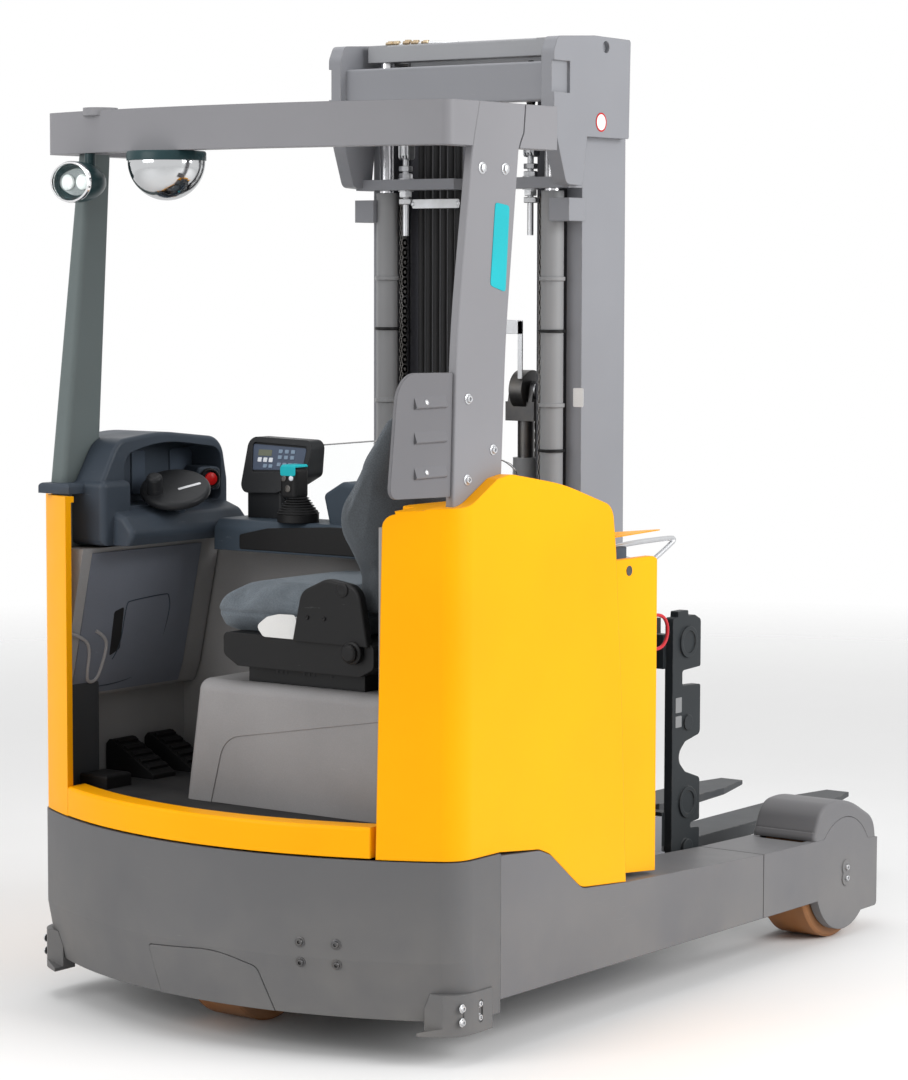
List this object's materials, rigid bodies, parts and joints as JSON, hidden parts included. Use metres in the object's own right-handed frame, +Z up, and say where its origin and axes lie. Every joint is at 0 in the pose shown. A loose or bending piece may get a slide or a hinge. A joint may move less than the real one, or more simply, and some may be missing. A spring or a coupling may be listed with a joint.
{
  "type": "reach truck",
  "caption": "Seated reach truck with a side-facing seat, overhead guard, wheel arms and a telescopic mast that slides forward and lifts two forks.",
  "frame": {"origin": "on the ground, under the middle of the whole truck", "axes": "+X towards the fork tips, +Y to the left side of the truck, +Z up"},
  "size_m": [2.7759, 1.298, 2.398],
  "materials": {
    "yellow_panel": "satin",
    "grey_steel": "satin",
    "light_grey_steel": "satin",
    "mast_grey": "satin",
    "dark_steel": "satin",
    "grey_plastic": "fine grained",
    "dark_plastic": "fine grained",
    "black_plastic": "fine grained",
    "seat_fabric": "woven",
    "chrome_rod": "polished",
    "mirror_glass": "polished",
    "lamp_housing": "glossy",
    "polyurethane": "smooth",
    "cast_hub": "machined",
    "motor_steel": "painted",
    "battery_case": "satin",
    "clear_plastic": "clear",
    "bright_steel": "plated",
    "chain_steel": "oiled",
    "hose_rubber": "matte"
  },
  "bodies": {
    "chassis": {"chassis_frame": "grey_steel", "rear_skirt": "grey_steel", "skirt_flap": "grey_steel", "corner_brackets": "grey_steel", "wheel_arm_left": "grey_steel", "wheel_arm_right": "grey_steel", "wheel_cover_left": "grey_steel", "wheel_cover_right": "grey_steel", "side_cover_right": "yellow_panel", "side_cover_left": "yellow_panel", "rear_sill": "yellow_panel", "battery": "battery_case", "battery_panel_left": "yellow_panel", "battery_panel_right": "yellow_panel", "floor_plate": "black_plastic", "cabin_lining": "grey_plastic", "dashboard": "dark_plastic", "side_console": "dark_plastic", "display_pod": "dark_plastic", "joystick": "black_plastic", "pedals": "black_plastic", "seat_hood": "grey_plastic", "seat_base": "black_plastic", "seat_cushion": "seat_fabric", "seat_backrest": "seat_fabric", "guard_roof": "light_grey_steel", "guard_pillar_right": "light_grey_steel", "guard_pillar_left": "light_grey_steel", "shoulder_plate": "light_grey_steel", "dome_mirror": "mirror_glass", "work_lamp": "lamp_housing", "drive_motor": "motor_steel", "clear_screen": "clear_plastic"},
    "drive_unit": {"drive_unit": "dark_steel"},
    "drive_wheel": {"drive_wheel_hub": "cast_hub", "drive_wheel_tyre": "polyurethane"},
    "load_wheel_left": {"load_wheel_hub_left": "cast_hub", "load_wheel_tyre_left": "polyurethane"},
    "load_wheel_right": {"load_wheel_hub_right": "cast_hub", "load_wheel_tyre_right": "polyurethane"},
    "steering_wheel": {"steering_wheel": "black_plastic"},
    "reach_carriage": {"reach_carriage": "mast_grey"},
    "outer_mast": {"outer_mast": "mast_grey", "lift_cylinders": "mast_grey", "chain_anchors": "bright_steel", "lift_chains": "chain_steel", "mast_hoses": "hose_rubber"},
    "middle_mast": {"middle_mast": "mast_grey", "lift_rods": "chrome_rod"},
    "inner_mast": {"inner_mast": "mast_grey", "free_lift_cylinder": "mast_grey"},
    "free_lift_head": {"free_lift_head": "dark_steel"},
    "lift_frame": {"lift_frame": "dark_steel"},
    "fork_frame": {"shift_frame": "dark_steel", "fork_left": "dark_steel", "fork_right": "dark_steel"}
  },
  "joints": [
    {"name": "drive_steer", "type": "hinge", "parent": "chassis", "child": "drive_unit", "pos_m": [-1.07, 0.07, 0.36], "axis": [0, 0, 1], "range_deg": [-90, 90]},
    {"name": "drive_roll", "type": "hinge", "parent": "drive_unit", "child": "drive_wheel", "pos_m": [-1.07, 0.07, 0.1715], "axis": [0, 1, 0], "continuous": true},
    {"name": "load_roll_left", "type": "hinge", "parent": "chassis", "child": "load_wheel_left", "pos_m": [0.588, 0.5475, 0.1775], "axis": [0, 1, 0], "continuous": true},
    {"name": "load_roll_right", "type": "hinge", "parent": "chassis", "child": "load_wheel_right", "pos_m": [0.588, -0.5475, 0.1775], "axis": [0, 1, 0], "continuous": true},
    {"name": "steering_turn", "type": "hinge", "parent": "chassis", "child": "steering_wheel", "pos_m": [-0.95, 0.412, 1.262], "axis": [-0.3723, -0.2705, 0.8878], "range_deg": [-450, 450]},
    {"name": "reach", "type": "slide", "parent": "chassis", "child": "reach_carriage", "axis": [1, 0, 0], "range_m": [0, 0.6]},
    {"name": "mast_tilt", "type": "hinge", "parent": "reach_carriage", "child": "outer_mast", "pos_m": [-0.142, 0, 0.2], "axis": [0, 1, 0], "range_deg": [-3, 1]},
    {"name": "middle_lift", "type": "slide", "parent": "outer_mast", "child": "middle_mast", "axis": [0, 0, 1], "range_m": [0, 1.75]},
    {"name": "inner_lift", "type": "slide", "parent": "middle_mast", "child": "inner_mast", "axis": [0, 0, 1], "range_m": [0, 1.75]},
    {"name": "carriage_lift", "type": "slide", "parent": "inner_mast", "child": "lift_frame", "axis": [0, 0, 1], "range_m": [-0.18, 1.55]},
    {"name": "free_head_lift", "type": "slide", "parent": "inner_mast", "child": "free_lift_head", "axis": [0, 0, 1], "range_m": [-0.09, 0.775]},
    {"name": "side_shift", "type": "slide", "parent": "lift_frame", "child": "fork_frame", "axis": [0, 1, 0], "range_m": [-0.075, 0.075]}
  ],
  "couplings": [
    {"joint": "steering_turn", "follows": "drive_steer", "ratio": 5},
    {"joint": "inner_lift", "follows": "middle_lift", "ratio": 1},
    {"joint": "free_head_lift", "follows": "carriage_lift", "ratio": 0.5}
  ]
}
